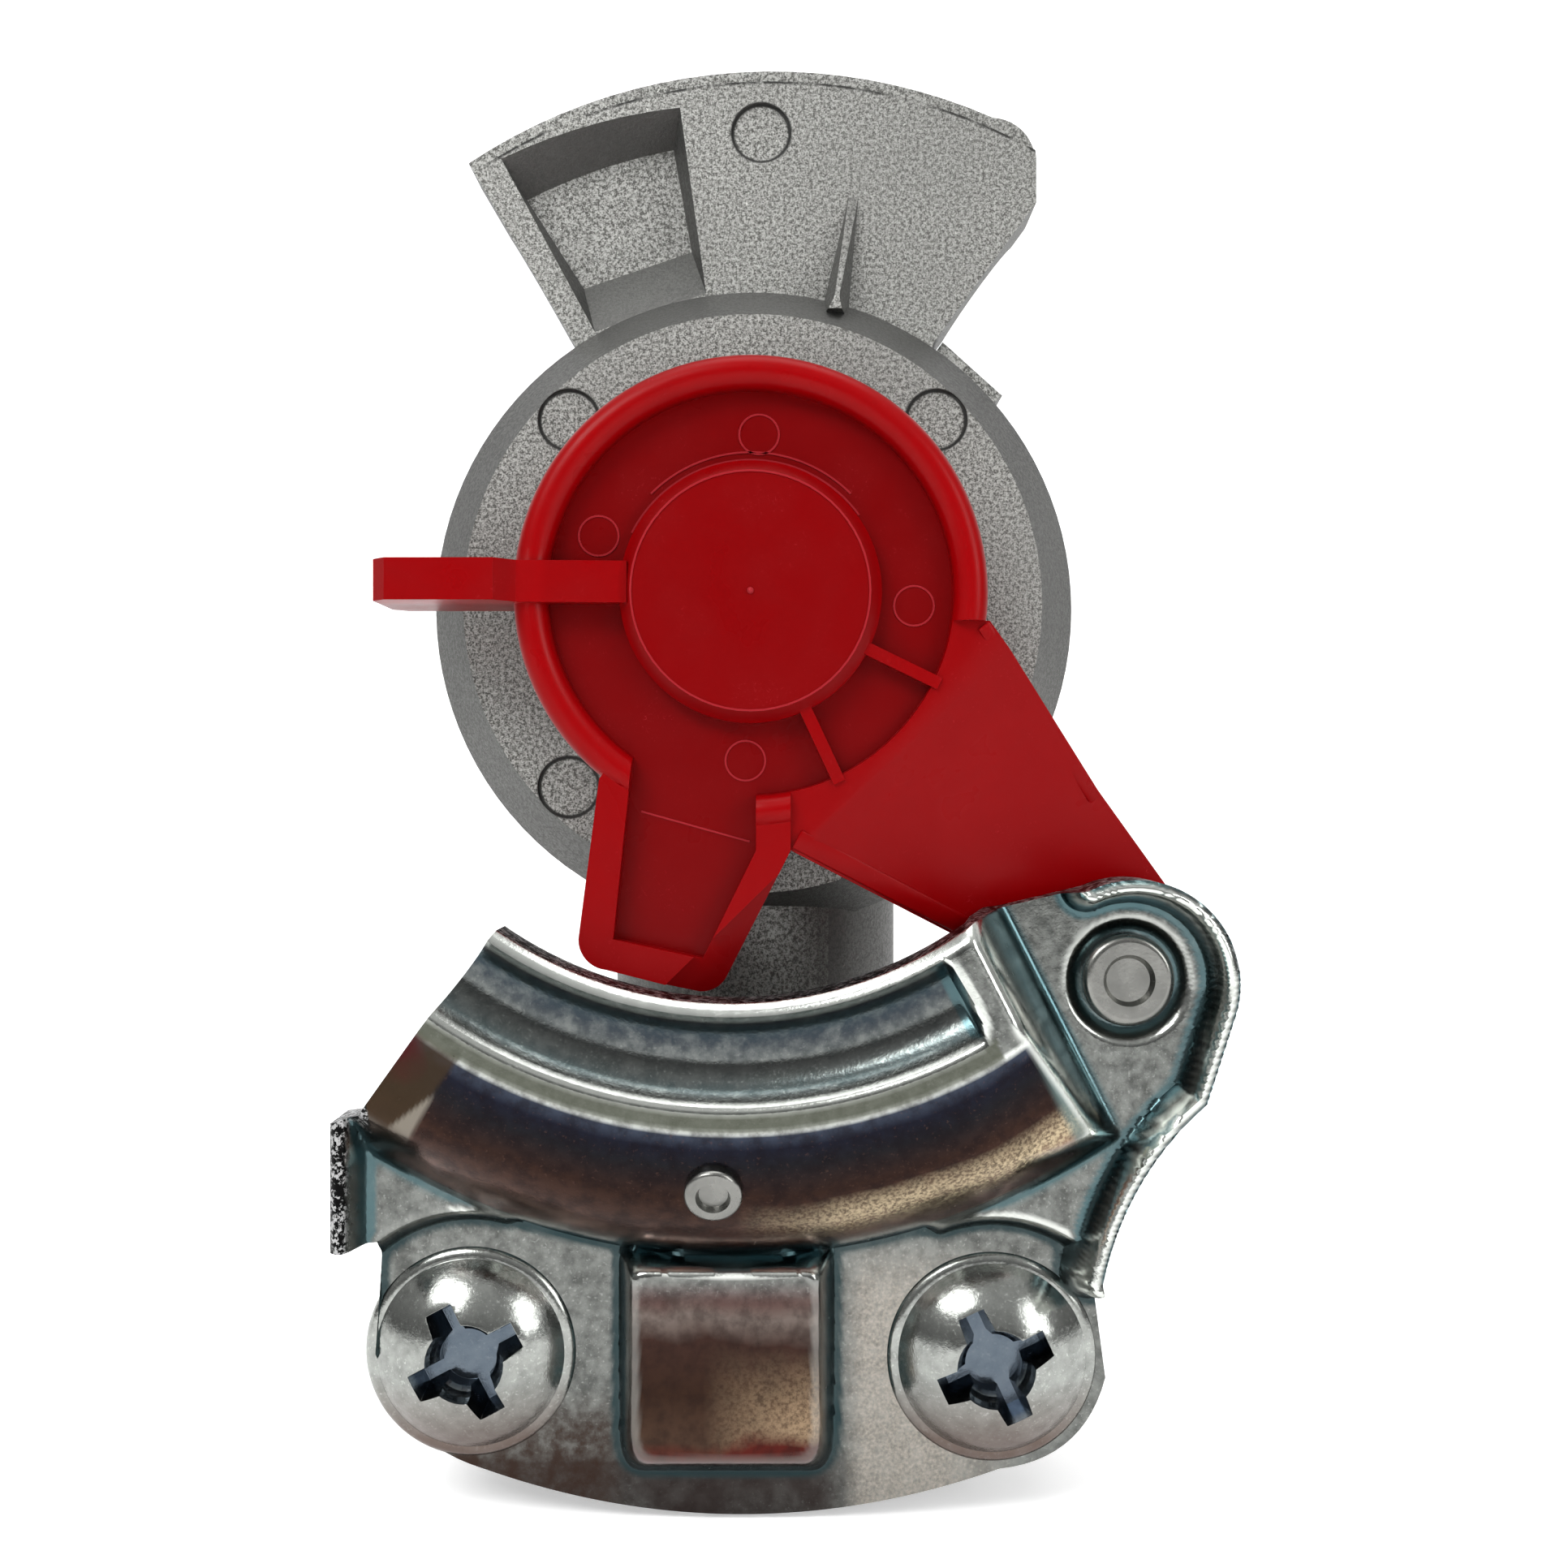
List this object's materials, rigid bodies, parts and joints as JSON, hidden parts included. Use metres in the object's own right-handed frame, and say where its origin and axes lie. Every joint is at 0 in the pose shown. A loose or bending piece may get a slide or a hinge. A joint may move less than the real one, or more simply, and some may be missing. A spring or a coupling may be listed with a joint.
{
  "type": "gladhand air brake coupler",
  "caption": "Palm coupling head for a vehicle air-brake line, with a pressed steel guide plate, a sealing ring, a spring-loaded shut-off valve and a swinging plastic dust cap.",
  "frame": {"origin": "middle of the sealing ring on the coupling face (the plane of the flange's flat front)", "axes": "-Y leaves the coupling face towards the other head, +Z runs from the hose port to the fan, X runs across, to the right when the coupling face is looked at"},
  "size_m": [0.0654, 0.0572, 0.1117],
  "materials": {
    "cast_aluminium": "as cast, fine grain, smooth draft walls",
    "zinc_plated_steel": "bright blue zinc plating on pressed sheet",
    "plated_fastener": "bright zinc plating",
    "red_plastic": "glossy moulded plastic, lightly scuffed edges",
    "black_rubber": "moulded rubber, matt",
    "spring_steel": "drawn spring wire",
    "brass": "turned"
  },
  "bodies": {
    "head": {"body_casting": "cast_aluminium", "guide_plate": "zinc_plated_steel", "screw_left": "plated_fastener", "screw_right": "plated_fastener", "detent_rivet": "plated_fastener", "pivot_rivet": "plated_fastener", "pivot_washer": "plated_fastener", "sealing_ring": "black_rubber", "valve_spring": "spring_steel", "chamber_plug": "brass", "plug_o_ring": "black_rubber"},
    "cap": {"dust_cap": "red_plastic"},
    "valve": {"valve_poppet": "brass", "valve_seal": "black_rubber"}
  },
  "joints": [
    {"name": "cap_swing", "type": "hinge", "parent": "head", "child": "cap", "pos_m": [0.0277, -0.0016, -0.0283], "axis": [0, 1, 0], "range_deg": [0, 90]},
    {"name": "valve_slide", "type": "slide", "parent": "head", "child": "valve", "axis": [0, 1, 0], "range_m": [0, 0.004], "stiffness_N_per_m": 1500, "springref_m": -0.004, "deforming": ["valve_spring"]}
  ]
}
